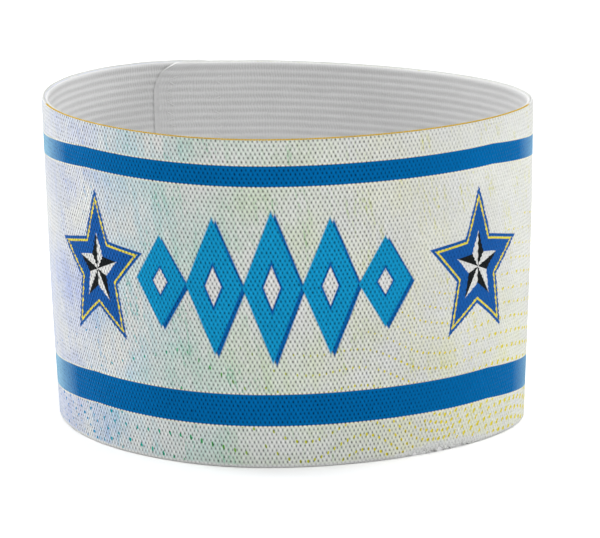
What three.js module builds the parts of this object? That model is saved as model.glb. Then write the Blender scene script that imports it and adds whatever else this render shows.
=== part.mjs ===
// A captain's armband: one wide woven elastic strap, bent round into a loop that stands on its
// lower edge, with its two ends lapped and sewn at the back left. The outer face is smooth and the
// inner face is ribbed lengthways. Millimetres and degrees, +Z up, the front faces -Y.

import * as THREE from 'three';

// Driving dimensions
const STRAP_HEIGHT = 75;       // lower edge to upper edge
const TOP_GIRTH = 336;         // round the outer face at the upper edge
const BOTTOM_GIRTH = 321;      // round the outer face at the lower edge, which stands a little closed
const FULLNESS = 0.3;          // how far the wall bows out half-way up
const FOOT_SHIFT_X = 1.1;      // how far the lower edge's loop stands to the right of the upper one's
const FOOT_SHIFT_Y = -2.3;     // and how far towards the back, so that the back wall leans outwards
const WALL = 1.4;              // outer face to the crests of the inner ribs
const RIB_PITCH = 1.75;        // one inner rib to the next
const RIB_DEPTH = 0.35;        // crest to valley
const SELVEDGE = 1;            // plain woven edge beside the ribs, top and bottom
const EDGE_ROUND = 0.35;       // softening of the four long corners
const LAP_BEARING = 110;       // where the inner end lies, turned from +X towards +Y
const LAP_LENGTH = 20;         // overlap of the two sewn ends
const LAP_CLEARANCE = 0.3;     // between the two layers of the lap
const LAP_RAMP = 8;            // length in which a layer steps aside for the other one
const END_CORNER = 8;          // radius of the corners of both cut ends

// The loop from above is a circle with a few lobes: each row adds a wave to the distance of its
// tangent line, as a share of the circle's radius, with one crest at the bearing.
const LOBES = [
  { count: 2, share: 0.069, bearing: -13 },
  { count: 3, share: 0.044, bearing: 8 },
  { count: 4, share: 0.0046, bearing: 13 },
  { count: 5, share: 0.0064, bearing: -26 },
];

// Fineness of the facets
const SECTIONS_ROUND = 46;
const SECTIONS_IN_LAP = 4;
const SECTIONS_IN_RAMP = 2;
const ROWS_OUTSIDE = 8;

const STRAP_COLOUR = 0xe4e5e2;

const rad = THREE.MathUtils.degToRad;

// The lap keeps its two layers one wall and one clearance apart, half to each side of the loop.
const LAYER_STEP = (WALL + LAP_CLEARANCE) / 2;
const RAMP_SHARE = LAP_RAMP / TOP_GIRTH;
const LAP_SHARE = LAP_LENGTH / TOP_GIRTH;

// A wall keeps a flat of at least a fifth of its thickness between its two softened corners.
const CORNER_ROUND = Math.min(EDGE_ROUND, 0.4 * WALL);

// Radius of the loop's base circle at a height.
function radiusAt(z) {
  const rise = z / STRAP_HEIGHT;
  const girth = BOTTOM_GIRTH + (TOP_GIRTH - BOTTOM_GIRTH) * rise;
  return girth / (2 * Math.PI) + FULLNESS * Math.sin(Math.PI * rise);
}

// Point of the loop whose outward normal has this bearing, moved outwards by the offset.
function loopPoint(bearing, z, offset) {
  const radius = radiusAt(z);
  let reach = radius + offset;
  let slide = 0;
  for (const lobe of LOBES) {
    const phase = lobe.count * (bearing - rad(lobe.bearing));
    reach += radius * lobe.share * Math.cos(phase);
    slide -= radius * lobe.share * lobe.count * Math.sin(phase);
  }
  const lean = 1 - z / STRAP_HEIGHT;
  const x = reach * Math.cos(bearing) - slide * Math.sin(bearing) + FOOT_SHIFT_X * lean;
  const y = reach * Math.sin(bearing) + slide * Math.cos(bearing) + FOOT_SHIFT_Y * lean;
  return new THREE.Vector3(x, y, z);
}

// Share of the girth from bearing 0 to this bearing, the same at every height.
function girthShare(bearing) {
  let arc = bearing;
  for (const { count, share, bearing: crest } of LOBES) {
    const gain = share * (1 - count * count) / count;
    arc += gain * (Math.sin(count * (bearing - rad(crest))) + Math.sin(count * rad(crest)));
  }
  return arc / (2 * Math.PI);
}

// Bearing at a share of the girth, by halving.
function bearingAt(share) {
  let low = 2 * Math.PI * (share - 0.25);
  let high = 2 * Math.PI * (share + 0.25);
  for (let pass = 0; pass < 40; pass += 1) {
    const middle = (low + high) / 2;
    if (girthShare(middle) < share) {
      low = middle;
    } else {
      high = middle;
    }
  }
  return (low + high) / 2;
}

// Offset of a layer at a share of the girth from the inner end: inside under the lap, then on the
// loop, and outside over the lap.
function layerOffset(along) {
  const leaving = THREE.MathUtils.smoothstep(along, LAP_SHARE, LAP_SHARE + RAMP_SHARE);
  const arriving = THREE.MathUtils.smoothstep(along, 1 - RAMP_SHARE, 1);
  return LAYER_STEP * (leaving - 1 + arriving);
}

// Shares of the girth at which the strap has a section, from its inner end to its outer end.
function sectionShares() {
  const stretches = [
    { to: LAP_SHARE, steps: SECTIONS_IN_LAP },
    { to: LAP_SHARE + RAMP_SHARE, steps: SECTIONS_IN_RAMP },
    { to: 1 - RAMP_SHARE, steps: SECTIONS_ROUND - SECTIONS_IN_LAP - 2 * SECTIONS_IN_RAMP },
    { to: 1, steps: SECTIONS_IN_RAMP },
    { to: 1 + LAP_SHARE, steps: SECTIONS_IN_LAP },
  ];
  const shares = [0];
  let from = 0;
  for (const { to, steps } of stretches) {
    for (let step = 1; step <= steps; step += 1) {
      shares.push(from + (to - from) * step / steps);
    }
    from = to;
  }
  return shares;
}

// Cross-section of the strap: up the outer face, over the upper edge, down the ribs and back.
// depth is measured outwards from the outer face.
function strapSection() {
  const top = STRAP_HEIGHT;
  const section = [new THREE.Vector2(-CORNER_ROUND, 0)];
  for (let row = 0; row <= ROWS_OUTSIDE; row += 1) {
    const z = CORNER_ROUND + (top - 2 * CORNER_ROUND) * row / ROWS_OUTSIDE;
    section.push(new THREE.Vector2(0, z));
  }
  section.push(new THREE.Vector2(-CORNER_ROUND, top));
  section.push(new THREE.Vector2(CORNER_ROUND - WALL, top));
  section.push(new THREE.Vector2(-WALL, top - CORNER_ROUND));
  const ribbed = top - 2 * SELVEDGE;
  const ribs = Math.max(1, Math.round(ribbed / RIB_PITCH));
  for (let rib = 0; rib < ribs; rib += 1) {
    const valley = top - SELVEDGE - ribbed * (rib + 0.5) / ribs;
    section.push(new THREE.Vector2(-WALL, valley + ribbed / ribs / 2));
    section.push(new THREE.Vector2(RIB_DEPTH - WALL, valley));
  }
  section.push(new THREE.Vector2(-WALL, SELVEDGE));
  section.push(new THREE.Vector2(-WALL, CORNER_ROUND));
  section.push(new THREE.Vector2(CORNER_ROUND - WALL, 0));
  return section;
}

// How far a cut end is rounded back at a height.
function cornerCut(z) {
  const inward = END_CORNER - Math.min(z, STRAP_HEIGHT - z, END_CORNER);
  return END_CORNER - Math.sqrt(END_CORNER * END_CORNER - inward * inward);
}

// The strap: its section carried round the loop, from the inner end over once round to the lap.
function strapGeometry() {
  const section = strapSection();
  const shares = sectionShares();
  const start = girthShare(rad(LAP_BEARING));
  const positions = [];
  shares.forEach((share, index) => {
    const toStart = Math.max(0, 1 - index / SECTIONS_IN_LAP);
    const toEnd = Math.max(0, 1 - (shares.length - 1 - index) / SECTIONS_IN_LAP);
    for (const { x: depth, y: z } of section) {
      const cut = cornerCut(z) / TOP_GIRTH;
      const along = share + cut * (toStart - toEnd);
      const point = loopPoint(bearingAt(start - along), z, layerOffset(along) + depth);
      positions.push(point.x, point.y, point.z);
    }
  });

  const faces = [];
  const count = section.length;
  for (let ring = 0; ring < shares.length - 1; ring += 1) {
    for (let side = 0; side < count; side += 1) {
      const low = ring * count + side;
      const high = ring * count + (side + 1) % count;
      faces.push(low, high, low + count);
      faces.push(high, high + count, low + count);
    }
  }
  const lastRing = (shares.length - 1) * count;
  for (const [a, b, c] of THREE.ShapeUtils.triangulateShape(section, [])) {
    faces.push(a, c, b);
    faces.push(lastRing + a, lastRing + b, lastRing + c);
  }

  const geometry = new THREE.BufferGeometry();
  geometry.setAttribute('position', new THREE.Float32BufferAttribute(positions, 3));
  geometry.setIndex(faces);
  geometry.computeBoundingBox();
  const middle = geometry.boundingBox.getCenter(new THREE.Vector3());
  geometry.translate(-middle.x, -middle.y, 0);
  geometry.computeVertexNormals();
  return geometry;
}

const armband = new THREE.Group();
const strapFinish = new THREE.MeshStandardMaterial({ color: STRAP_COLOUR, roughness: 0.9, metalness: 0 });
const strap = new THREE.Mesh(strapGeometry(), strapFinish);
strap.name = 'elastic_band';
armband.add(strap);

export default armband;
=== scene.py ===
"""Looks of a captain's armband: a wide elastic strap, printed outside and ribbed inside, bent into a loop.

The strap is laid out flat first, by its millimetres along, up and out of its face. Each woven layer,
thread and stitch is then carried round the loop that the CAD model has.
"""
import logging
import math
import random
from dataclasses import dataclass, field
from enum import Enum
from functools import cached_property, lru_cache

import bmesh
import bpy
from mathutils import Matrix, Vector, noise


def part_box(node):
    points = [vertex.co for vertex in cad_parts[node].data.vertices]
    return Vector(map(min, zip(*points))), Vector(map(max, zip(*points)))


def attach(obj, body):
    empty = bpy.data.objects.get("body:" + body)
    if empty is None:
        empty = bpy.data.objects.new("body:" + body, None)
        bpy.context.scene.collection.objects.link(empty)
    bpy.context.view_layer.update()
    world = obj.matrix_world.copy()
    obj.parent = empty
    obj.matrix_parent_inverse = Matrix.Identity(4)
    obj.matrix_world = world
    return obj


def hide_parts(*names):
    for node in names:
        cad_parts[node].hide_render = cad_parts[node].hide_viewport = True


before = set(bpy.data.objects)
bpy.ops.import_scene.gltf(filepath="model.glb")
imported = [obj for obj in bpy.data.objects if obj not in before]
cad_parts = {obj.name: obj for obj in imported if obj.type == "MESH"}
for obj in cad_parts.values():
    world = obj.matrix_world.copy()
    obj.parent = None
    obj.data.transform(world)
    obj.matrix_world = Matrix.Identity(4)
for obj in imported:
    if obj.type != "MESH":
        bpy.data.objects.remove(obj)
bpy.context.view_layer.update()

NODE = "elastic_band"
BODY = "root"
MM = 0.001
FULL_TURN = 2 * math.pi
HALVINGS = 40
CHART_MARGIN = 0.004
CHART_BAND = 0.474
CHART_ENDS = 0.492
CAP_LEVEL = 30.0

log = logging.getLogger("armband")


class Ink(Enum):
    """Colours of the yarn and of the print, as the eye reads them."""

    YARN = "#dedfdd"
    # The rib yarn is greyer than the face yarn: painted shade for the inside of the loop.
    RIB_YARN_SHADED = "#d6d6d6"
    GOLD = "#c8a61a"
    STRIPE = "#0067a9"
    CREAM = "#f1ebd2"
    # Light cyan that the stripes' blue turns to under the painted sheen at the bends.
    SHEEN_CYAN = "#c4f0f8"
    TURQUOISE = "#1595c9"
    DEEP_BLUE = "#0d5fa6"
    STAR_BLUE = "#1b5aa6"
    STAR_EDGE = "#e9d94a"
    COAL = "#1b1f20"
    LAVENDER = "#b8c2e2"
    SKY = "#b4d2e2"
    TEAL = "#b0d4cb"
    PALE_GREEN = "#c6d6be"
    STRAW = "#e3e4c8"
    STREAK_BLUE = "#8fa6d6"
    STREAK_CYAN = "#74bfd2"
    STREAK_TEAL = "#6cb8a6"
    STREAK_GREEN = "#96c098"
    STREAK_STRAW = "#d2d184"
    DOT_BLUE = "#3672c0"
    DOT_CYAN = "#0895c6"
    DOT_TEAL = "#0aa894"
    DOT_GREEN = "#2f9c38"
    DOT_LIME = "#b2be26"
    DOT_YELLOW = "#e0d234"

    @property
    def linear(self) -> tuple[float, float, float, float]:
        """The colour as the shaders' linear red, green, blue and alpha."""
        parts = [int(self.value[at:at + 2], 16) / 255 for at in (1, 3, 5)]
        red, green, blue = (p / 12.92 if p <= 0.04045 else ((p + 0.055) / 1.055) ** 2.4 for p in parts)
        return red, green, blue, 1.0


@dataclass(frozen=True)
class Lobe:
    """One wave of the loop's outline from above.

    Attributes:
        count: Crests in one turn.
        share: Height of the wave, as a share of the loop's radius.
        bearing: Where one crest lies, in degrees turned from +X towards +Y.
    """

    count: int
    share: float
    bearing: float


@dataclass(frozen=True)
class Course:
    """The way that the strap takes round its loop, in millimetres and degrees, as the CAD model has it."""

    top_girth: float = 336
    bottom_girth: float = 321
    fullness: float = 0.3
    foot_shift: tuple[float, float] = (1.1, -2.3)
    wall: float = 1.4
    rib_pitch: float = 1.75
    rib_depth: float = 0.35
    selvedge: float = 1.0
    edge_round: float = 0.35
    lap_bearing: float = 110
    lap_length: float = 20
    lap_clearance: float = 0.3
    lap_ramp: float = 8
    end_corner: float = 8
    pressed_length: float = 5.0
    pressed_share: float = 0.9
    pressed_gap: float = 0.8
    ripple: float = 0.16
    ripple_waves: float = 2.6
    ripple_height: float = 34
    fray: float = 1.3
    fray_height: float = 2.0
    fray_ramp: float = 3.0
    frayed: tuple[float, float] = (37.0, 52.0)
    sections_round: int = 46
    sections_in_lap: int = 4
    sections_in_ramp: int = 2
    rows_outside: int = 8
    lobes: tuple[Lobe, ...] = (
        Lobe(2, 0.069, -13), Lobe(3, 0.044, 8), Lobe(4, 0.0046, 13), Lobe(5, 0.0064, -26))

    @cached_property
    def height(self) -> float:
        """Height of the strap, read from the CAD model."""
        low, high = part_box(NODE)
        return (high[2] - low[2]) / MM

    @property
    def length(self) -> float:
        """Length of the strap from its inner end to its outer end, laid flat."""
        return self.top_girth + self.lap_length

    @cached_property
    def front(self) -> float:
        """Millimetres along at which the strap faces the front."""
        return (self.girth_share(math.radians(self.lap_bearing))
                - self.girth_share(math.radians(-90))) * self.top_girth

    @property
    def sections(self) -> list[float]:
        """Millimetres along at which the CAD model has a section, from its inner end to its outer end."""
        stretches = (
            (self.lap_length, self.sections_in_lap),
            (self.lap_length + self.lap_ramp, self.sections_in_ramp),
            (self.top_girth - self.lap_ramp,
             self.sections_round - self.sections_in_lap - 2 * self.sections_in_ramp),
            (self.top_girth, self.sections_in_ramp),
            (self.length, self.sections_in_lap))
        places, start = [0.0], 0.0
        for end, steps in stretches:
            places += [start + (end - start) * step / steps for step in range(1, steps + 1)]
            start = end
        return places

    @cached_property
    def centring(self) -> Vector:
        """Shift from the loop to the CAD model, in metres.

        Returns:
            What lays the middle of the box round the loop's sections on the middle of the CAD model's
            box, and the loop's foot on its foot.
        """
        flat = self.height - 2 * self.edge_round
        levels = [self.edge_round + flat * row / self.rows_outside for row in range(self.rows_outside + 1)]
        places = [(self.trimmed(section, level), level) for section in self.sections for level in levels]
        spots = [self.loop_point(place, level, self.layer_offset(place)) for place, level in places]
        low, high = (Vector(box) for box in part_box(NODE))
        middle = [(min(s[axis] for s in spots) + max(s[axis] for s in spots)) / 2 for axis in (0, 1)]
        return Vector(((low.x + high.x) / 2 - middle[0], (low.y + high.y) / 2 - middle[1], low.z))

    def girth_share(self, bearing: float) -> float:
        """Share of the girth from bearing 0 to a bearing in radians, the same at every height."""
        arc = bearing
        for lobe in self.lobes:
            crest = math.radians(lobe.bearing)
            gain = lobe.share * (1 - lobe.count ** 2) / lobe.count
            arc += gain * (math.sin(lobe.count * (bearing - crest)) + math.sin(lobe.count * crest))
        return arc / FULL_TURN

    @lru_cache(maxsize=None)
    def heading(self, along: float) -> tuple[float, float, float, float]:
        """How the loop runs at a place along the strap.

        Args:
            along: Millimetres from the inner end.

        Returns:
            Cosine and sine of the outward bearing, then the reach and the slide as shares of the radius.
        """
        share = self.girth_share(math.radians(self.lap_bearing)) - along / self.top_girth
        low, high = FULL_TURN * (share - 0.25), FULL_TURN * (share + 0.25)
        for _ in range(HALVINGS):
            middle = (low + high) / 2
            low, high = (middle, high) if self.girth_share(middle) < share else (low, middle)
        phases = [lobe.count * (low - math.radians(lobe.bearing)) for lobe in self.lobes]
        reach = 1 + sum(lobe.share * math.cos(phase) for lobe, phase in zip(self.lobes, phases))
        slide = -sum(lobe.share * lobe.count * math.sin(phase) for lobe, phase in zip(self.lobes, phases))
        return math.cos(low), math.sin(low), reach, slide

    def layer_offset(self, along: float) -> float:
        """Step of the strap to the inside under the lap and to the outside over it."""
        step = (self.wall + self.lap_clearance) / 2
        leaving = smooth(along, self.lap_length, self.lap_length + self.lap_ramp)
        arriving = smooth(along, self.top_girth - self.lap_ramp, self.top_girth)
        return step * (leaving - 1 + arriving)

    def trimmed(self, along: float, level: float) -> float:
        """Place along the strap once its two ends have their round corners.

        Args:
            along: Millimetres from the inner end, on the uncut strap.
            level: Millimetres above the lower edge.

        Returns:
            Millimetres from the inner end, drawn in towards the middle near an end's corners.
        """
        to_start = max(0.0, 1 - along / self.lap_length)
        to_end = max(0.0, 1 - (self.length - along) / self.lap_length)
        inward = self.end_corner - min(level, self.height - level, self.end_corner)
        cut = self.end_corner - math.sqrt(max(0.0, self.end_corner ** 2 - inward ** 2))
        return along + cut * (to_start - to_end)

    def pressed(self, along: float, out: float) -> float:
        """Place out of the face once both cut ends are pressed thin against the layer beside them.

        Args:
            along: Millimetres from the inner end.
            out: Millimetres outwards from the outer face of the full strap.

        Returns:
            Millimetres outwards from the same face.
        """
        at_start = 1 - smooth(along, 0.0, self.pressed_length)
        at_end = 1 - smooth(self.length - along, 0.0, self.pressed_length)
        thinned = out * (1 - self.pressed_share * at_start) - (out + self.wall) * self.pressed_share * at_end
        return thinned + self.pressed_gap * self.lap_clearance * (at_start - at_end)

    def unevenness(self, along: float, level: float) -> float:
        """Slight waves of a real strap, the same in both layers of the lap."""
        turn = FULL_TURN * along / self.top_girth
        waves = self.ripple_waves
        spot = Vector((waves * math.cos(turn), waves * math.sin(turn), level / self.ripple_height))
        return self.ripple * noise.noise(spot)

    def worn(self, along: float, level: float) -> float:
        """Rise of the frayed lower edge at the front right, in millimetres."""
        across = self.front - along
        start, end = self.frayed
        share = smooth(across, start - self.fray_ramp, start) * smooth(across, end + self.fray_ramp, end)
        broad = noise.noise(Vector((across * 0.4, 0.0, 6.0)))
        fine = noise.noise(Vector((across * 1.1, 4.0, 6.0)))
        ragged = max(0.0, min(0.95, 0.35 + (broad + 1.6 * fine)))
        return self.fray * share * ragged * max(0.0, 1 - level / self.fray_height)

    def loop_point(self, place: float, level: float, offset: float) -> Vector:
        """Point of the loop, before it is centred on the CAD model's box.

        Args:
            place: Millimetres from the inner end, once the corners are cut.
            level: Millimetres above the lower edge.
            offset: Millimetres outwards from the loop.

        Returns:
            The point, in metres.
        """
        cosine, sine, reach, slide = self.heading(place)
        rise = level / self.height
        girth = self.bottom_girth + (self.top_girth - self.bottom_girth) * rise
        radius = girth / FULL_TURN + self.fullness * math.sin(math.pi * rise)
        away = radius * reach + offset
        x = away * cosine - radius * slide * sine + self.foot_shift[0] * (1 - rise)
        y = away * sine + radius * slide * cosine + self.foot_shift[1] * (1 - rise)
        return Vector((x, y, level)) * MM

    def point(self, along: float, level: float, out: float) -> Vector:
        """Place of a spot of the strap in the CAD model's frame.

        Args:
            along: Millimetres from the strap's inner end, clockwise from above.
            level: Millimetres above the lower edge.
            out: Millimetres outwards from the outer face.

        Returns:
            The point, in metres.
        """
        # Rounded, so that the loop's heading is worked out once for all the rows of a column.
        place = round(self.trimmed(along, level), 4)
        offset = self.layer_offset(place) + self.pressed(place, out) + self.unevenness(place, level)
        lifted = Vector((0.0, 0.0, self.worn(place, level) * MM))
        return self.loop_point(place, level, offset) + self.centring + lifted


def smooth(value: float, start: float, end: float) -> float:
    """Smooth step from 0 at start to 1 at end."""
    share = min(1.0, max(0.0, (value - start) / (end - start)))
    return share * share * (3 - 2 * share)


class Field:
    """A value or colour that changes over a surface; arithmetic on it lays Math nodes."""

    def __init__(self, desk: "Desk", socket: bpy.types.NodeSocket) -> None:
        """Wraps an output socket of a node on the desk."""
        self.desk = desk
        self.socket = socket

    def __add__(self, other: "Field | float") -> "Field":
        """Sum."""
        return self.desk.math("ADD", self, other)

    def __sub__(self, other: "Field | float") -> "Field":
        """Difference."""
        return self.desk.math("SUBTRACT", self, other)

    def __rsub__(self, other: float) -> "Field":
        """Difference from a number."""
        return self.desk.math("SUBTRACT", other, self)

    def __mul__(self, other: "Field | float") -> "Field":
        """Product."""
        return self.desk.math("MULTIPLY", self, other)

    def __truediv__(self, other: "Field | float") -> "Field":
        """Quotient."""
        return self.desk.math("DIVIDE", self, other)

    def __abs__(self) -> "Field":
        """Distance from zero."""
        return self.desk.math("ABSOLUTE", self)

    def apply(self, operation: str, *others: "Field | float") -> "Field":
        """Result of a named Math operation on this value."""
        return self.desk.math(operation, self, *others)

    def fade(self, start: float, end: float) -> "Field":
        """Mask that rises from 0 at start to 1 at end, with start above end for a falling one."""
        return self.desk.field("ShaderNodeMapRange", {0: self, 1: start, 2: end, 3: 0.0, 4: 1.0})


Feed = Field | float | tuple


class Desk:
    """Lays the nodes of one material or node group and joins them."""

    def __init__(self, tree: bpy.types.NodeTree) -> None:
        """Works on the tree."""
        self.tree = tree

    def node(self, kind: str, feeds: dict[int | str, Feed] | None = None,
             **settings: object) -> bpy.types.Node:
        """Adds a node.

        Args:
            kind: Blender's name of the node type.
            feeds: What each input gets, by its index or name.
            **settings: Properties of the node.

        Returns:
            The new node.
        """
        made = self.tree.nodes.new(kind)
        for key, value in settings.items():
            setattr(made, key, value)
        for key, value in (feeds or {}).items():
            if isinstance(value, Field):
                self.tree.links.new(value.socket, made.inputs[key])
            else:
                made.inputs[key].default_value = value
        return made

    def field(self, kind: str, feeds: dict[int | str, Feed] | None = None, output: int | str = 0,
              **settings: object) -> Field:
        """Adds a node as node does, and gives one of its outputs."""
        return Field(self, self.node(kind, feeds, **settings).outputs[output])

    def math(self, operation: str, *values: Field | float) -> Field:
        """Result of a Math node."""
        return self.field("ShaderNodeMath", dict(enumerate(values)), operation=operation)

    def mix(self, mask: Field | float, under: Feed, over: Feed) -> Field:
        """Colour over another colour, as far as the mask says."""
        return self.field("ShaderNodeMix", {0: mask, 6: under, 7: over}, 2, data_type="RGBA")

    def shade(self, colour: Feed, by: Field) -> Field:
        """Colour multiplied by a grey value."""
        return self.field("ShaderNodeMix", {0: 1.0, 6: colour, 7: by}, 2, data_type="RGBA",
                          blend_type="MULTIPLY")

    def ramp(self, value: Field, stops: list[tuple[float, Ink]]) -> Field:
        """Colour that runs through the inks as the value passes their places, from 0 to 1."""
        made = self.node("ShaderNodeValToRGB", {0: value})
        elements = made.color_ramp.elements
        while len(elements) < len(stops):
            elements.new(1.0)
        for element, (place, ink) in zip(elements, stops):
            element.position = place
            element.color = ink.linear
        return Field(self, made.outputs[0])

    def map(self, name: str) -> tuple[Field, Field]:
        """The two values of one of the piece's own maps."""
        parts = self.node("ShaderNodeSeparateXYZ", {0: self.field("ShaderNodeUVMap", uv_map=name)})
        return Field(self, parts.outputs[0]), Field(self, parts.outputs[1])

    def cloud(self, x: Field, y: Field | float, seed: float, detail: float = 1.0) -> Field:
        """Noise from 0 to 1 whose spots are about one unit of x and y wide."""
        spot = self.field("ShaderNodeCombineXYZ", {0: x, 1: y, 2: seed})
        return self.field("ShaderNodeTexNoise", {"Vector": spot, "Scale": 1.0, "Detail": detail})


@dataclass(frozen=True)
class YarnGrain:
    """Node group of the fibres that every yarn shows: a fine light and dark grain, and its height."""

    name: str = "Yarn grain"

    @cached_property
    def group(self) -> bpy.types.NodeTree:
        """The group, laid once."""
        tree = bpy.data.node_groups.new(self.name, "ShaderNodeTree")
        for way, labels in (("INPUT", ("Fibres per metre", "Contrast")), ("OUTPUT", ("Tone", "Height"))):
            for label in labels:
                tree.interface.new_socket(label, in_out=way, socket_type="NodeSocketFloat")
        desk = Desk(tree)
        entry = desk.node("NodeGroupInput")
        place = desk.field("ShaderNodeTexCoord", output="Object")
        fine = desk.field("ShaderNodeTexNoise", {
            "Vector": place, "Scale": Field(desk, entry.outputs[0]), "Detail": 2.0, "Roughness": 0.6})
        broad = desk.field("ShaderNodeTexNoise", {"Vector": place, "Scale": 90.0, "Detail": 1.0})
        blend = fine * 0.75 + broad * 0.25
        tone = (blend - 0.5) * Field(desk, entry.outputs[1]) + 1.0
        desk.node("NodeGroupOutput", {0: tone, 1: blend})
        return tree

    def place(self, desk: Desk, fibres: float, contrast: float) -> tuple[Field, Field]:
        """Puts the group on a desk.

        Args:
            desk: Where the group's node goes.
            fibres: Fibres per metre.
            contrast: How far the tone swings about 1.

        Returns:
            The tone to multiply a colour by, and the height from 0 to 1.
        """
        made = desk.node("ShaderNodeGroup", node_tree=self.group)
        made.inputs[0].default_value = fibres
        made.inputs[1].default_value = contrast
        return Field(desk, made.outputs[0]), Field(desk, made.outputs[1])


GRAIN = YarnGrain()


@dataclass(frozen=True)
class Finish:
    """A surface finish, with the numbers that are the same all over it."""

    name: str
    sheen: float = 0.12
    sheen_roughness: float = 0.3
    gloss: float = 0.15

    def dress(self, desk: Desk) -> dict[str, Field]:
        """Lays the pattern and says which value feeds which input of the shader."""
        raise NotImplementedError

    @cached_property
    def material(self) -> bpy.types.Material:
        """The material, laid once."""
        made = bpy.data.materials.new(self.name)
        made.use_nodes = True
        made.node_tree.nodes.clear()
        desk = Desk(made.node_tree)
        shader = desk.node("ShaderNodeBsdfPrincipled", {
            **self.dress(desk), "Sheen Weight": self.sheen, "Sheen Roughness": self.sheen_roughness,
            "Specular IOR Level": self.gloss})
        desk.node("ShaderNodeOutputMaterial", {"Surface": Field(desk, shader.outputs[0])})
        return made


def relief(desk: Desk, height: Field, distance: float, strength: float = 1.0) -> Field:
    """Normal of a surface whose fine height is a pattern of that many metres."""
    return desk.field("ShaderNodeBump", {"Height": height, "Distance": distance, "Strength": strength})


@dataclass(frozen=True)
class YarnFinish(Finish):
    """Plain spun yarn of one colour, for threads and stitches."""

    ink: Ink = Ink.YARN
    fibres: float = 9000
    contrast: float = 0.5

    def dress(self, desk: Desk) -> dict[str, Field]:
        """Lays the fibres' grain over the ink."""
        tone, height = GRAIN.place(desk, self.fibres, self.contrast)
        return {
            "Base Color": desk.shade(self.ink.linear, tone),
            "Roughness": height * 0.2 + 0.7,
            "Normal": relief(desk, height, 0.00005, 0.6),
        }


@dataclass(frozen=True)
class EdgeFinish(Finish):
    """Edge thread that is golden along the printed front and plain white round the back.

    Attributes:
        slope: How much further back the gold reaches for each metre to the right.
        turn: Where the gold ends in the middle, in metres towards the back.
    """

    slope: float = -0.0124
    turn: float = -0.0078

    def dress(self, desk: Desk) -> dict[str, Field]:
        """Lays gold over the front and the fibres' grain over both."""
        place = desk.node("ShaderNodeSeparateXYZ", {0: desk.field("ShaderNodeTexCoord", output="Object")})
        x, y = Field(desk, place.outputs[0]), Field(desk, place.outputs[1])
        golden = (y - x * self.slope).fade(self.turn + 0.001, self.turn - 0.001)
        tone, height = GRAIN.place(desk, 5000, 0.9)
        return {
            "Base Color": desk.shade(desk.mix(golden, Ink.YARN.linear, Ink.GOLD.linear), tone),
            "Roughness": height * 0.2 + 0.6,
            "Normal": relief(desk, height, 0.00005, 0.6),
        }


@dataclass(frozen=True)
class RibFinish(Finish):
    """Ribbed back of the strap, in white yarn greyed by painted shade for the inside of the loop: soft
    lengthways ribs crossed by fine upright yarns.
    """

    ink: Ink = Ink.RIB_YARN_SHADED
    valley_shade: float = 0.04
    yarn_shade: float = 0.035

    def dress(self, desk: Desk) -> dict[str, Field]:
        """Lays the shaded valleys, the upright yarns and the grain."""
        yarns, ribs = desk.map("Threads")
        along, level = desk.map("Strap")
        valley = (ribs * FULL_TURN).apply("COSINE").fade(0.1, -1.0)
        wander = desk.cloud(along * 0.3, level * 0.5, 3.0) * 2.2
        upright = ((yarns + wander) * FULL_TURN).apply("SINE")
        patch = desk.cloud(along * 0.05, level * 0.12, 8.0, 2.0)
        tone, height = GRAIN.place(desk, 3200, 0.16)
        grey = 1.0 - valley * self.valley_shade - upright.fade(0.2, -1.0) * self.yarn_shade
        grey = grey * (patch * 0.14 + 0.93) * tone
        lumps = upright * 0.22 + height * 0.9
        return {
            "Base Color": desk.shade(self.ink.linear, grey),
            "Roughness": patch * 0.1 + 0.82,
            "Normal": relief(desk, lumps, 0.00012, 0.7),
        }


@dataclass(frozen=True)
class Stripe:
    """A printed stripe that runs all the way round, from low to high in millimetres."""

    low: float
    high: float


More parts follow.
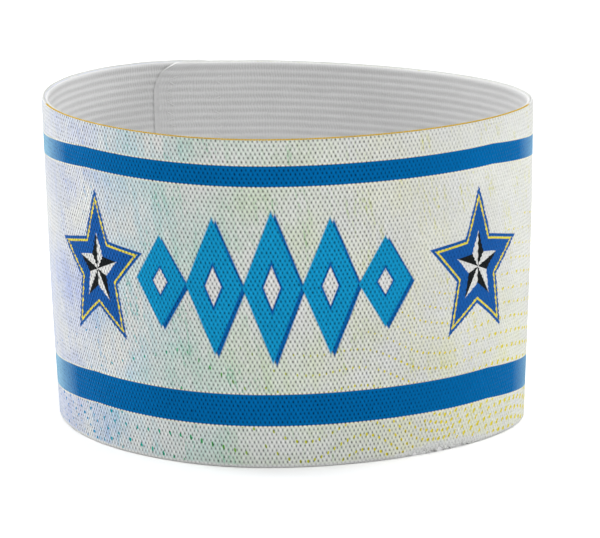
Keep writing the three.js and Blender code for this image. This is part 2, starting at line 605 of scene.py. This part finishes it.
@dataclass(frozen=True)
class PrintedFinish(Finish):
    """Printed outer face: a pale wash of colours, dots, stripes, a row of lozenges and two stars, with
    painted shade in the weave's pits, a painted highlight on its strands and a painted sheen at the two
    bends.

    Sizes are millimetres on the flat strap, with across measured to the right of the front's middle.
    """

    course: Course = Course()
    stripes: tuple[Stripe, ...] = (Stripe(9.7, 17.0), Stripe(64.3, 69.0))
    outline: float = 0.35
    motif_middle: tuple[float, float] = (1.5, 41.5)
    motif_pitch: float = 13.4
    motif_half_height: float = 17.5
    motif_count: int = 5
    shadow: tuple[float, float] = (0.9, -0.6)
    star_middle: tuple[float, float] = (5.0, 41.5)
    star_spread: float = 50.0
    star_radius: float = 17.0
    star_notch: float = 7.8
    star_squeeze: float = 0.84
    bare_edge: float = 0.7
    pit_shade: float = 0.62
    # The painted sheen: middles of the two bends where it lies, its reach, and how far it turns the stripes'
    # blue light cyan.
    bends: tuple[float, float] = (-74.0, 88.5)
    sheen_reach: float = 17.0
    sheen_share: float = 0.46
    droop: tuple[float, float] = (1.8, 2.4)
    dot_pitch: float = 2.7
    dot_steps: tuple[tuple[float, float], ...] = ((8.0, 1.6), (48.0, 2.4))

    def dress(self, desk: Desk) -> dict[str, Field]:
        """Prints layer over layer, then paints shade into the weave's pits and a highlight on its raised
        strands.
        """
        across, height = desk.map("Strap")
        level = height + across.fade(-48.0, -76.0) * self.droop[0] + across.fade(60.0, 90.0) * self.droop[1]
        painted_sheen = self.painted_sheen(desk, across, level)
        strands, pit, strand_highlight, chance = self.weave(desk)
        # The painted sheen pales the wash towards the white yarn.
        paint = desk.mix(painted_sheen * 0.4, self.wash(desk, across, level, chance), Ink.YARN.linear)
        paint = self.dots(desk, across, level, paint)
        paint = self.bands(desk, level, painted_sheen, paint)
        paint = self.lozenges(desk, across, level, paint)
        paint = self.stars(desk, across, level, paint)
        bare = self.bare(desk, across, height)
        paint = desk.mix(bare, paint, Ink.YARN.linear)
        tone, fibre_height = GRAIN.place(desk, 2600, 0.6)
        # Where the painted pit shade and strand highlight ease off: under the painted sheen, towards the
        # right side and on bare yarn.
        sheen_wash = painted_sheen.apply("MAXIMUM", across.fade(24.0, 54.0)).apply("MAXIMUM", bare)
        soft = 1.0 - sheen_wash * 0.7
        # Painted shade in the pits and a painted highlight on the raised strands, over the fibres' grain.
        grey = (1.0 - pit * soft * self.pit_shade) * ((strand_highlight - 0.5) * soft * 0.28 + soft * 0.05 + 1.0) * tone
        return {
            "Base Color": desk.shade(paint, grey),
            "Roughness": pit * 0.12 + 0.78,
            "Normal": relief(desk, strands * 0.5 + fibre_height * 0.6, 0.00022, 0.8),
        }

    def bare(self, desk: Desk, across: Field, height: Field) -> Field:
        """Mask of the unprinted yarn: on the frayed lower edge, both cut ends and the upper edge."""
        worn = across.fade(30.0, 41.0) * across.fade(66.0, 50.0) * 3.4 + 0.6
        fray = desk.cloud(across * 0.8, 0.0, 2.0, 3.0) * worn
        low = (height - fray).fade(self.bare_edge - 0.1, self.bare_edge - 0.4)
        half = self.course.length / 2
        from_end = half - abs(across - (self.course.front - half))
        from_top = self.course.height - height
        ends = low.apply("MAXIMUM", from_end.fade(1.7, 1.3))
        return ends.apply("MAXIMUM", from_top.fade(0.25, 0.15))

    def weave(self, desk: Desk) -> tuple[Field, Field, Field, Field]:
        """Staggered lattice of slanted pits between two sets of crossing strands.

        Returns:
            The strands' height, the mask of the pits for painted shade, the mask of the raised strands for a
            painted highlight, and each one's chance.
        """
        column, row = desk.map("Threads")
        wander = desk.cloud(column * 0.8, row * 0.5, 21.0, 1.0) - 0.5
        chance = desk.cloud(column * 1.3, row * 0.8, 24.0, 1.0)
        falling = ((column + row * 0.5 + wander * 0.3 + 0.25) * FULL_TURN).apply("COSINE")
        rising = ((column - row * 0.5 + wander * 0.5 - 0.25) * FULL_TURN).apply("COSINE")
        strands = falling * 0.55 + rising * 0.45
        pit = strands.fade(-0.34, -0.84) * (chance * 1.5 + 0.3)
        strand_highlight = strands.fade(-0.1, 0.9) * (1.6 - chance * 1.3)
        return strands, pit, strand_highlight, chance

    def wash(self, desk: Desk, across: Field, level: Field, chance: Field) -> Field:
        """Pale colours that run into each other round the front, broken into upright streaks."""
        place = across.fade(-75.0, 85.0) + (desk.cloud(across * 0.05, level * 0.06, 1.0) - 0.5) * 0.18
        colour = desk.ramp(place, [
            (0.0, Ink.LAVENDER), (0.14, Ink.LAVENDER), (0.24, Ink.SKY), (0.34, Ink.TEAL),
            (0.46, Ink.PALE_GREEN), (0.66, Ink.STRAW), (1.0, Ink.STRAW)])
        deep = desk.ramp(place, [
            (0.0, Ink.STREAK_BLUE), (0.12, Ink.STREAK_BLUE), (0.2, Ink.STREAK_CYAN), (0.3, Ink.STREAK_TEAL),
            (0.5, Ink.STREAK_GREEN), (0.7, Ink.STREAK_STRAW)])
        patches = desk.cloud(across * 0.07, level * 0.07, 5.0, 2.0).fade(0.36, 0.66)
        bands = desk.cloud((across + level * 0.12) * 0.55, level * 0.07, 7.0, 2.0).fade(0.42, 0.72)
        strength = (patches * 0.55 + bands * 0.35) * (chance * 1.2 + 0.4)
        strength = strength * (1.0 - across.fade(10.0, 55.0) * level.fade(24.0, 42.0) * 0.7)
        strength = strength + across.fade(-38.0, -62.0) * level.fade(52.0, 30.0) * (patches * 0.25 + 0.08)
        paint = desk.mix(strength, Ink.YARN.linear, colour)
        region = desk.cloud((across + level * 0.2) * 0.16, level * 0.045, 4.0, 1.0).fade(0.45, 0.62)
        lines = desk.cloud((across + level * 0.22) * 1.5, level * 0.16, 9.0, 2.0).fade(0.53, 0.63)
        flecks = desk.cloud(across * 2.4, level * 1.1, 11.0, 1.0).fade(0.4, 0.58)
        return desk.mix(region * lines * flecks * 0.85, paint, deep)

    def dots(self, desk: Desk, across: Field, level: Field, under: Field) -> Field:
        """Small slanted dots on bowed rows that close up and grow towards the lower right."""
        left = (-20.0 - across).apply("MAXIMUM", 0.0)
        right = (across + 20.0).apply("MAXIMUM", 0.0)
        high = level.fade(12.9, 13.1)
        front = across.fade(-1.0, -2.0)
        fan = (6.0 - left * 0.165).apply("MAXIMUM", 1.3)
        low_row = (level - 6.5 + right * 0.2) / fan
        high_row = (level - 26.6 + left * 0.3 + right * 0.55) / 9.0
        swing = (across.apply("MINIMUM", 39.0) - 23.5) / 31.0 + (across - 39.0).apply("MAXIMUM", 0.0) / 56.0
        wave = (swing * FULL_TURN).apply("COSINE") * (3.2 - across.fade(39.0, 58.0) * 1.4)
        wave = wave * (1.0 - high * 0.5)
        closed = across.fade(8.0, 46.0) * (2.9 - high * 1.7)
        tight = 4.6 - closed + across.fade(50.0, 76.0) * (1.0 - high) * 0.7
        row = (low_row + (high_row - low_row) * high) * front + (level - wave) / tight * (1.0 - front) + 0.5
        spacing = (fan + (9.0 - fan) * high) * front + tight * (1.0 - front)
        column = ((left * 0.0222 + 1.0).apply("LOGARITHM", math.e) * (-1 / 0.06) + right / self.dot_pitch
                  + row.apply("FLOOR") * 0.3)
        pitch, before = left * 0.06 + self.dot_pitch, self.dot_pitch
        for start, after in self.dot_steps:
            column = column + (across - start).apply("MAXIMUM", 0.0) * (1 / after - 1 / before)
            pitch = pitch + across.fade(start - 0.1, start + 0.1) * (after - before)
            before = after
        x = (column.apply("FRACT") - 0.5) * pitch
        y = (row.apply("FRACT") - 0.5) * spacing
        lean = x - y * across.fade(10.0, 50.0) * 0.5 + y * across.fade(20.0, -40.0) * 0.2
        top = across.fade(18.0, 72.0) * 24.0 + 28.0
        low_down = (level / top).fade(1.1, 0.2)
        growth = across.fade(30.0, 88.0) * low_down
        long = across.fade(-48.0, -26.0) * across.fade(0.0, -14.0)
        far = ((lean / (growth * 0.34 + low_down * 0.12 + 0.14)).apply("POWER", 2.0)
               + (y / (growth * 0.25 + low_down * 0.15 + long * 0.2 + 0.25)).apply("POWER", 2.0))
        chance = desk.cloud(across * 0.09, level * 0.12, 12.0, 1.0)
        shown = chance.fade(0.3, 0.36) * (level - top).fade(0.5, -0.5)
        shown = shown * across.fade(122.0, 100.0) * across.fade(-110.0, -92.0)
        colour = desk.ramp(across.fade(-75.0, 80.0), [
            (0.0, Ink.DOT_BLUE), (0.16, Ink.DOT_CYAN), (0.28, Ink.DOT_TEAL), (0.4, Ink.DOT_GREEN),
            (0.5, Ink.DOT_LIME), (0.7, Ink.DOT_YELLOW)])
        return desk.mix(far.fade(1.2, 0.8) * shown, under, colour)

    def painted_sheen(self, desk: Desk, across: Field, level: Field) -> Field:
        """Mask of a painted sheen where the band is bent most, at its two sides, that pales the print there.
        """
        left, right = (abs(across - middle).fade(self.sheen_reach, 2.0) for middle in self.bends)
        # Patchy strength of the painted sheen.
        sheen_wash = desk.cloud(across * 0.4, level * 0.3, 15.0, 2.0) * 0.3 + 0.85
        return left.apply("MAXIMUM", right) * sheen_wash

    def bands(self, desk: Desk, level: Field, painted_sheen: Field, under: Field) -> Field:
        """The stripes, each with a thin cream outline, turned light cyan at the bends by a painted sheen."""
        paint = under
        blue = desk.mix(painted_sheen * self.sheen_share, Ink.STRIPE.linear, Ink.SHEEN_CYAN.linear)
        for stripe in self.stripes:
            half = (stripe.high - stripe.low) / 2
            off = abs(level - (stripe.low + half)) - half
            paint = desk.mix(off.fade(self.outline, self.outline * 0.5) * 0.8, paint, Ink.CREAM.linear)
            paint = desk.mix(off.fade(0.08, -0.08), paint, blue)
        return paint

    def lozenge_edge(self, across: Field, level: Field, shift: tuple[float, float]) -> Field:
        """How far outside the row of lozenges a spot lies, in shares of a lozenge, with the row shifted."""
        x = across - (self.motif_middle[0] + shift[0])
        y = abs(level - (self.motif_middle[1] + shift[1]))
        turn = (x / self.motif_pitch + 0.5).apply("FLOOR")
        beside = abs(x / self.motif_pitch - turn) * 2.0
        shrink = 1.0 - turn.apply("POWER", 2.0) * 0.1
        edge = beside + y / self.motif_half_height / shrink - 1.0
        beyond = (abs(turn) - self.motif_count / 2) * 2.0
        return edge.apply("MAXIMUM", beyond)

    def lozenges(self, desk: Desk, across: Field, level: Field, under: Field) -> Field:
        """A row of tall lozenges with a slit in each, and their deeper shadow to the lower right."""
        shadow = self.lozenge_edge(across, level, self.shadow)
        front = self.lozenge_edge(across, level, (0.0, 0.0))
        paint = desk.mix(shadow.fade(0.03, -0.03), under, Ink.DEEP_BLUE.linear)
        paint = desk.mix(front.fade(0.03, -0.03), paint, Ink.TURQUOISE.linear)
        paint = desk.mix(front.fade(-0.62, -0.66), paint, Ink.DEEP_BLUE.linear)
        return desk.mix(front.fade(-0.7, -0.74), paint, Ink.YARN.linear)

    def stars(self, desk: Desk, across: Field, level: Field, under: Field) -> Field:
        """One five-pointed star at each side of the front, with a yellow line and a faceted heart."""
        x = (abs(across - self.star_middle[0]) - self.star_spread) / self.star_squeeze
        y = level - self.star_middle[1]
        point = FULL_TURN / 5
        turn = x.apply("ARCTAN2", y)
        beside = (turn / point + 0.5).apply("FRACT") - 0.5
        folded = abs(beside) * point
        reach = (x * x + y * y).apply("SQRT")
        side = (self.star_notch * math.sin(point / 2),
                self.star_radius - self.star_notch * math.cos(point / 2))
        length = math.hypot(*side)
        edge = ((reach * folded.apply("COSINE") - self.star_radius) * (side[0] / length)
                + reach * folded.apply("SINE") * (side[1] / length))
        paint = desk.mix(edge.fade(0.75, 0.55), under, Ink.STAR_BLUE.linear)
        paint = desk.mix(edge.fade(0.0, -0.2), paint, Ink.STAR_EDGE.linear)
        paint = desk.mix(edge.fade(-0.5, -0.7), paint, Ink.STAR_BLUE.linear)
        heart = desk.mix(beside.fade(-0.01, 0.01), Ink.YARN.linear, Ink.COAL.linear)
        return desk.mix(edge.fade(-3.3, -3.5), paint, heart)


@dataclass(frozen=True)
class Rung:
    """One lengthways line of a layer's cross-section.

    Attributes:
        level: Millimetres above the lower edge.
        out: Millimetres outwards from the outer face.
        thread: Which row or rib of the weave it is, for the pattern.
        relief: How much of the layer's own relief it takes.
    """

    level: float
    out: float
    thread: float = 0.0
    relief: float = 0.0


def hidden_side(top: float, out: float, inward: float) -> list[Rung]:
    """Plain side of a layer that lies against the other one, from the lower edge up.

    Args:
        top: Height of the layer's upper edge, in millimetres.
        out: Millimetres from the outer face to this side.
        inward: How far the side is softened into the layer at both edges.

    Returns:
        Its five lines.
    """
    return [Rung(0.1, out + inward), Rung(0.3, out), Rung(top / 2, out), Rung(top - 0.3, out),
            Rung(top - 0.1, out + inward)]


@dataclass
class StrapLayer:
    """One of the strap's two woven layers: a closed sheet that runs round with the strap."""

    course: Course
    name: str
    finish: Finish
    columns: int
    threads_per_column: float

    def section(self) -> list[Rung]:
        """Lines of the cross-section in order: up one side, over the upper edge and down the other."""
        raise NotImplementedError

    def lift(self, column: int, rung: Rung) -> tuple[float, float]:
        """How far the weave moves a vertex up and out, in millimetres."""
        raise NotImplementedError

    def build(self) -> bpy.types.Object:
        """Makes the layer: a grid carried round the section and the loop, then closed.

        Returns:
            The finished piece.
        """
        rungs = self.section()
        work = bmesh.new()
        bmesh.ops.create_grid(work, x_segments=self.columns, y_segments=len(rungs), size=0.5)
        spots = {vert: (round((vert.co.x + 0.5) * self.columns), round((vert.co.y + 0.5) * len(rungs)))
                 for vert in work.verts}
        self.lay_maps(work, spots, rungs)
        for vert, (column, line) in spots.items():
            rung = rungs[line % len(rungs)]
            up, out = self.lift(column, rung)
            along = self.course.length * column / self.columns
            vert.co = self.course.point(along, rung.level + up, rung.out + out)
        self.split_on_strands(work, spots)
        seam = [vert for vert, (_, line) in spots.items() if line in (0, len(rungs))]
        bmesh.ops.remove_doubles(work, verts=seam, dist=1e-8)
        self.close_ends(work, spots, rungs)
        bmesh.ops.recalc_face_normals(work, faces=work.faces)
        return finished(self.name, work, self.finish.material)

    def split_on_strands(self, work: bmesh.types.BMesh, spots: dict) -> None:
        """Chooses how faces are split into triangles; a layer of plain ribs leaves them whole."""

    def chart_heights(self, rungs: list[Rung]) -> list[float]:
        """Place of each line across the baked image, from 0 to 1, by its way round the section."""
        heights = [0.0]
        for here, after in zip(rungs, rungs[1:] + rungs[:1]):
            way = math.hypot(after.level - here.level, after.out - here.out)
            hidden = here.relief == after.relief == 0.0
            heights.append(heights[-1] + (min(way, 0.6) if hidden else max(way, 0.3)))
        return [height / heights[-1] for height in heights]

    def lay_maps(self, work: bmesh.types.BMesh, spots: dict, rungs: list[Rung]) -> None:
        """Lays the three maps: the flat strap in millimetres, its threads, and the image to bake into.

        Args:
            work: The grid before it is bent round.
            spots: Column and line of each vertex.
            rungs: The section's lines.
        """
        strap, threads, chart = (work.loops.layers.uv.new(name) for name in ("Strap", "Threads", "OFBake"))
        heights = self.chart_heights(rungs)
        half = self.columns // 2
        for face in work.faces:
            upper = sum(spots[loop.vert][0] for loop in face.loops) / 4 > half
            for loop in face.loops:
                column, line = spots[loop.vert]
                rung = rungs[line % len(rungs)]
                along = self.course.length * column / self.columns
                loop[strap].uv = (self.course.front - along, rung.level)
                loop[threads].uv = (-column * self.threads_per_column, rung.thread)
                share = (column - half * upper) / (self.columns - half)
                loop[chart].uv = (
                    CHART_MARGIN + (1 - 2 * CHART_MARGIN) * share,
                    (0.5 + CHART_MARGIN) * upper + CHART_MARGIN + CHART_BAND * heights[line])

    def close_ends(self, work: bmesh.types.BMesh, spots: dict, rungs: list[Rung]) -> None:
        """Fills both cut ends of the layer.

        Args:
            work: The bent and welded layer.
            spots: Column and line of each vertex.
            rungs: The section's lines.
        """
        chart = work.loops.layers.uv["OFBake"]
        strap = work.loops.layers.uv["Strap"]
        for column, beside in ((0, 1), (self.columns, self.columns - 1)):
            rim = [edge for edge in work.edges
                   if edge.is_boundary and all(spots[vert][0] == column for vert in edge.verts)]
            for edge in rim:
                edge.smooth = False
            alongs = [self.course.length * at / self.columns for at in (beside, column)]
            places = [self.course.point(along, CAP_LEVEL, 0.0) for along in alongs]
            filled = bmesh.ops.triangle_fill(
                work, use_beauty=True, use_dissolve=False, edges=rim, normal=places[1] - places[0])
            for face in (part for part in filled["geom"] if isinstance(part, bmesh.types.BMFace)):
                for loop in face.loops:
                    rung = rungs[spots[loop.vert][1] % len(rungs)]
                    loop[strap].uv = (self.course.front - alongs[1], rung.level)
                    loop[chart].uv = (0.01 + 0.45 * rung.level / self.course.height + 0.5 * (column > 0),
                                      CHART_ENDS - CHART_MARGIN * rung.out / self.course.wall)


@dataclass
class WovenFace(StrapLayer):
    """Printed outer layer, whose strands cross in a staggered lattice with a pit in each gap.

    The rim holds the level, out, thread and relief of the two lines that round an edge over.
    """

    name: str = "woven_face"
    finish: Finish = field(default_factory=lambda: PrintedFinish("printed_weave", sheen=0.05, gloss=0.02))
    columns: int = 690
    threads_per_column: float = 0.5
    rows: int = 81
    thickness: float = 0.72
    crossing_rise: float = 0.09
    pit_depth: float = 0.2
    scallop: float = 0.12
    rim: tuple[tuple[float, ...], ...] = ((0.06, -0.34, 0.0, 0.3), (0.16, -0.1, 0.1, 0.5))

    def section(self) -> list[Rung]:
        """Up the woven rows, over the upper edge and down the hidden side."""
        top = self.course.height
        lines = [Rung(*line) for line in self.rim]
        lines += [Rung((row + 0.5) * top / self.rows, 0.0, row + 0.5, 1.0) for row in range(self.rows)]
        lines += [Rung(top - level, out, self.rows - thread, share)
                  for level, out, thread, share in reversed(self.rim)]
        return lines + hidden_side(top, -self.thickness, 0.1)[::-1]

    def lift(self, column: int, rung: Rung) -> tuple[float, float]:
        """Sinks every second vertex into a pit and raises the others, and scallops both edges."""
        if rung.relief == 0.0:
            return 0.0, 0.0
        if rung.relief < 1.0:
            inward = self.scallop * (column % 2)
            return -inward if rung.level > self.course.height / 2 else inward, 0.0
        row = int(rung.thread)
        return 0.0, -self.pit_depth if (column - row) % 2 else self.crossing_rise

    def split_on_strands(self, work: bmesh.types.BMesh, spots: dict) -> None:
        """Splits each face between its two raised corners, so that a strand runs unbroken."""
        fixed, turned = [], []
        for face in work.faces:
            column, line = spots[face.verts[0]]
            (turned if (column - line) % 2 else fixed).append(face)
        bmesh.ops.triangulate(work, faces=fixed, quad_method="FIXED")
        bmesh.ops.triangulate(work, faces=turned, quad_method="ALTERNATE")


@dataclass
class RibbedBack(StrapLayer):
    """Plain inner layer with its soft lengthways ribs."""

    name: str = "ribbed_back"
    finish: Finish = field(default_factory=lambda: RibFinish("ribbed_yarn"))
    columns: int = 356
    threads_per_column: float = 1.5
    lines_per_rib: int = 4
    seam: float = -0.62
    sunk: float = 0.25

    def section(self) -> list[Rung]:
        """Up the hidden side, over the upper edge and down the ribs."""
        top, crest = self.course.height - self.sunk, -self.course.wall
        ribbed = self.course.height - 2 * self.course.selvedge
        ribs = max(1, round(ribbed / self.course.rib_pitch))
        lines = hidden_side(top, self.seam, -0.1)
        lines += [Rung(top, (self.seam + crest) / 2, 0.0, 0.3), Rung(top - 0.15, crest + 0.1, 0.0, 0.5)]
        for step in range(ribs * self.lines_per_rib + 1):
            rib = step / self.lines_per_rib
            hollow = 0.7 * self.course.rib_depth * (0.5 - 0.5 * math.cos(FULL_TURN * rib)) ** 1.3
            level = self.course.height - self.course.selvedge - ribbed * rib / ribs
            lines.append(Rung(level, crest + hollow, rib, 1.0))
        lines += [Rung(0.15, crest + 0.1, ribs, 0.5), Rung(0.0, (self.seam + crest) / 2, ribs, 0.3)]
        return lines

    def lift(self, column: int, rung: Rung) -> tuple[float, float]:
        """Lets each rib wander a little and swell at the yarns that cross it."""
        if rung.relief < 1.0:
            return 0.0, 0.0
        spot = Vector((column * 0.11, rung.level * 0.35, 4.0))
        return 0.1 * noise.noise(spot), 0.05 * noise.noise(spot * 4.0)


@dataclass
class ThreadWork:
    """Base of the pieces that are made of thin round threads."""

    course: Course
    name: str
    finish: Finish
    radius: float
    sides: int

    def paths(self) -> list[list[Vector]]:
        """The middle line of each thread, in metres."""
        raise NotImplementedError

    def build(self) -> bpy.types.Object:
        """Gives each middle line a round section with closed ends.

        Returns:
            The finished piece.
        """
        curve = bpy.data.curves.new(self.name, "CURVE")
        curve.dimensions = "3D"
        curve.bevel_depth = self.radius * MM
        curve.bevel_resolution = (self.sides - 4) // 2
        curve.use_fill_caps = True
        for path in self.paths():
            spline = curve.splines.new("POLY")
            spline.points.add(len(path) - 1)
            for spot, place in zip(spline.points, path):
                spot.co = (*place, 1.0)
        holder = bpy.data.objects.new(self.name, curve)
        work = bmesh.new()
        work.from_mesh(holder.to_mesh())
        bpy.data.objects.remove(holder)
        bpy.data.curves.remove(curve)
        bmesh.ops.remove_doubles(work, verts=work.verts, dist=1e-7)
        bmesh.ops.recalc_face_normals(work, faces=work.faces)
        return finished(self.name, work, self.finish.material)


@dataclass
class EdgeThread(ThreadWork):
    """Golden two-ply thread woven along the upper edge of the printed face."""

    name: str = "edge_thread"
    finish: Finish = field(default_factory=lambda: EdgeFinish("golden_thread", sheen=0.0))
    radius: float = 0.11
    sides: int = 4
    lay: float = 1.3
    steps_per_turn: int = 7
    from_end: float = 1.0
    wind: float = 0.1
    sunk: float = 0.22

    def paths(self) -> list[list[Vector]]:
        """Two plies wound round each other, from one cut end to the other."""
        start, end = self.from_end, self.course.length - self.from_end
        steps = round((end - start) / self.lay * self.steps_per_turn)
        plies = []
        for phase in (0.0, math.pi):
            ply = []
            for step in range(steps + 1):
                turn = FULL_TURN * step / self.steps_per_turn + phase
                along = start + (end - start) * step / steps
                level = self.course.height - self.wind + self.wind * math.sin(turn)
                ply.append(self.course.point(along, level, -self.sunk + self.wind * math.cos(turn)))
            plies.append(ply)
        return plies


@dataclass
class SelvedgeLoops(ThreadWork):
    """Small turns of the crossing yarn along both edges."""

    name: str = "selvedge_loops"
    finish: Finish = field(default_factory=lambda: YarnFinish("selvedge_yarn"))
    radius: float = 0.09
    sides: int = 4
    pitch: float = 0.99
    reach: float = 0.3
    half_width: float = 0.3
    from_end: float = 1.0
    sunk: float = 0.28
    bulge: float = 0.12
    steps: int = 5

    def paths(self) -> list[list[Vector]]:
        """One flat arc for each turn, out of the edge and back in."""
        arcs = []
        count = round((self.course.length - 2 * self.from_end) / self.pitch)
        for upper in (False, True):
            for index in range(count):
                middle = self.from_end + (index + 0.5) * self.pitch
                arc = []
                for step in range(self.steps + 1):
                    turn = math.pi * step / self.steps
                    inward = self.radius + self.reach * (1 - math.sin(turn))
                    level = self.course.height - inward if upper else inward
                    along = middle - self.half_width * math.cos(turn)
                    arc.append(self.course.point(along, level, -self.sunk - self.bulge * math.sin(turn)))
                arcs.append(arc)
        return arcs


@dataclass
class LapStitches(ThreadWork):
    """Zigzag sewing in white thread, greyed like the rib yarn by painted shade, that holds the two ends of
    the strap together, inside and outside.
    """

    name: str = "lap_stitches"
    finish: Finish = field(default_factory=lambda: YarnFinish("sewing_thread", ink=Ink.RIB_YARN_SHADED))
    radius: float = 0.14
    sides: int = 6
    pitch: float = 1.25
    width: float = 2.4
    from_end: float = 4.0
    margin: float = 3.0
    raised: float = 0.1
    sunk_inside: float = 0.16
    dip: float = 0.34
    steps: int = 6

    def paths(self) -> list[list[Vector]]:
        """Two upright zigzags, each seen on the lap's outer face and on its inner face."""
        lines = []
        outside, inside = self.raised, self.sunk_inside - self.course.wall
        for from_end in (self.from_end, self.course.lap_length - self.from_end):
            for base, out in ((self.course.top_girth, outside), (0.0, inside)):
                lines += self.zigzag(base + from_end, out)
        return lines

    def zigzag(self, middle: float, out: float) -> list[list[Vector]]:
        """Stitches of one upright zigzag: each rises from its hole, lies on the cloth and dips again."""
        stitches = []
        count = int((self.course.height - 2 * self.margin) / self.pitch)
        for index in range(count):
            level = self.margin + index * self.pitch
            side = self.width / 2 if index % 2 else -self.width / 2
            stitch = []
            for step in range(self.steps + 1):
                share = step / self.steps
                dip = math.copysign(self.dip * (1 - math.sin(math.pi * share) ** 0.5), out)
                along = middle + side * (1 - 2 * share)
                stitch.append(self.course.point(along, level + self.pitch * share, out - dip))
            stitches.append(stitch)
        return stitches


@dataclass
class LooseFibres(ThreadWork):
    """A few short hairs that stand out of the worn lower edge at the front right."""

    name: str = "loose_fibres"
    finish: Finish = field(default_factory=lambda: YarnFinish("loose_yarn"))
    radius: float = 0.035
    sides: int = 4
    count: int = 46
    spread: tuple[float, float] = (22.0, 74.0)
    seed: int = 7

    def paths(self) -> list[list[Vector]]:
        """Bent hairs at random places between the two ends of the spread."""
        chance = random.Random(self.seed)
        hairs = []
        for _ in range(self.count):
            along = self.course.front - chance.uniform(*self.spread)
            level = chance.uniform(0.1, 0.9)
            slope, reach = chance.uniform(-0.9, 0.9), chance.uniform(0.3, 0.8)
            hairs.append([
                self.course.point(along + slope * share, max(0.05, level * (1 - 0.5 * share)),
                                  -0.1 + reach * share + 0.2 * math.sin(3 * share))
                for share in (0.0, 0.25, 0.5, 0.75, 1.0)])
        return hairs


def finished(name: str, work: bmesh.types.BMesh, material: bpy.types.Material) -> bpy.types.Object:
    """Turns a worked mesh into a smooth piece of the armband.

    Args:
        name: Name of the piece.
        work: The mesh, which is freed.
        material: Its finish.

    Returns:
        The piece, riding on the band's body and standing for the CAD strap.
    """
    mesh = bpy.data.meshes.new(name)
    work.to_mesh(mesh)
    work.free()
    mesh.materials.append(material)
    mesh.shade_smooth()
    piece = bpy.data.objects.new(name, mesh)
    bpy.context.scene.collection.objects.link(piece)
    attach(piece, BODY)
    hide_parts(NODE)
    triangles = sum(len(face.vertices) - 2 for face in mesh.polygons)
    log.info("%s: %d triangles", name, triangles)
    return piece


@dataclass(frozen=True)
class Softbox:
    """A square studio lamp with a soft light.

    Attributes:
        name: Its name.
        place: Where it hangs, in metres.
        aim: The point that it shines at, in metres.
        side: Length of its side, in metres.
        power: Its power, in watts.
    """

    name: str
    place: tuple[float, float, float]
    aim: tuple[float, float, float]
    side: float
    power: float

    def build(self) -> None:
        """Hangs the lamp."""
        lamp = bpy.data.lights.new(self.name, "AREA")
        lamp.size = self.side
        lamp.energy = self.power
        holder = bpy.data.objects.new(self.name, lamp)
        holder.location = self.place
        holder.rotation_euler = (Vector(self.aim) - Vector(self.place)).to_track_quat("-Z", "Y").to_euler()
        bpy.context.scene.collection.objects.link(holder)


@dataclass
class Studio:
    """Pale floor, soft lamps and the camera, in metres."""

    camera_place: tuple[float, float, float] = (-0.00193, -0.9796, 0.2577)
    camera_aim: tuple[float, float, float] = (0.00294, -0.00459, 0.03532)
    focal_length: float = 258.06
    sensor: float = 36.0
    floor_side: float = 8.0
    paper: tuple[float, float, float, float] = (0.97, 0.97, 0.97, 1.0)
    surroundings: float = 0.47
    lamps: tuple[Softbox, ...] = (
        Softbox("lamp_above", (0.0, 0.1, 1.5), (0.0, 0.1, 0.0), 2.6, 30.0),
        Softbox("lamp_front", (0.55, -1.15, 0.85), (0.0, 0.0, 0.04), 0.8, 2.3),
        Softbox("lamp_left", (-0.75, 0.36, 0.3), (0.0, 0.0, 0.04), 0.3, 3.4),
        Softbox("lamp_right", (0.72, 0.40, 0.42), (0.0, 0.0, 0.04), 0.3, 2.8),
    )

    def build(self) -> None:
        """Sets up the floor, the lamps, the surroundings and the camera."""
        self.lay_floor()
        for lamp in self.lamps:
            lamp.build()
        world = bpy.data.worlds.new("surroundings")
        world.use_nodes = True
        light = world.node_tree.nodes["Background"].inputs
        light["Color"].default_value = (1.0, 1.0, 1.0, 1.0)
        light["Strength"].default_value = self.surroundings
        scene = bpy.context.scene
        scene.world = world
        scene.view_settings.view_transform = "Standard"
        self.place_camera(scene)

    def lay_floor(self) -> None:
        """Lays the plain pale floor that the lower edge stands on."""
        work = bmesh.new()
        bmesh.ops.create_grid(work, x_segments=1, y_segments=1, size=self.floor_side / 2)
        mesh = bpy.data.meshes.new("floor")
        work.to_mesh(mesh)
        work.free()
        paper = bpy.data.materials.new("white_paper")
        paper.use_nodes = True
        shader = paper.node_tree.nodes["Principled BSDF"]
        shader.inputs["Base Color"].default_value = self.paper
        shader.inputs["Roughness"].default_value = 0.9
        mesh.materials.append(paper)
        floor = bpy.data.objects.new("floor", mesh)
        bpy.context.scene.collection.objects.link(floor)

    def place_camera(self, scene: bpy.types.Scene) -> None:
        """Puts the camera where the photograph was taken from."""
        lens = bpy.data.cameras.new("camera")
        lens.lens = self.focal_length
        lens.sensor_width = self.sensor
        lens.clip_end = 100.0
        holder = bpy.data.objects.new("camera", lens)
        holder.location = self.camera_place
        sight = Vector(self.camera_aim) - Vector(self.camera_place)
        holder.rotation_euler = sight.to_track_quat("-Z", "Y").to_euler()
        scene.collection.objects.link(holder)
        scene.camera = holder


def main() -> None:
    """Builds the studio and the armband."""
    logging.basicConfig(level=logging.INFO, format="%(name)s: %(message)s")
    Studio().build()
    course = Course()
    face = WovenFace(course).build()
    kinds = (RibbedBack, EdgeThread, SelvedgeLoops, LapStitches, LooseFibres)
    trims = [kind(course).build() for kind in kinds]


if __name__ == "__main__":
    main()
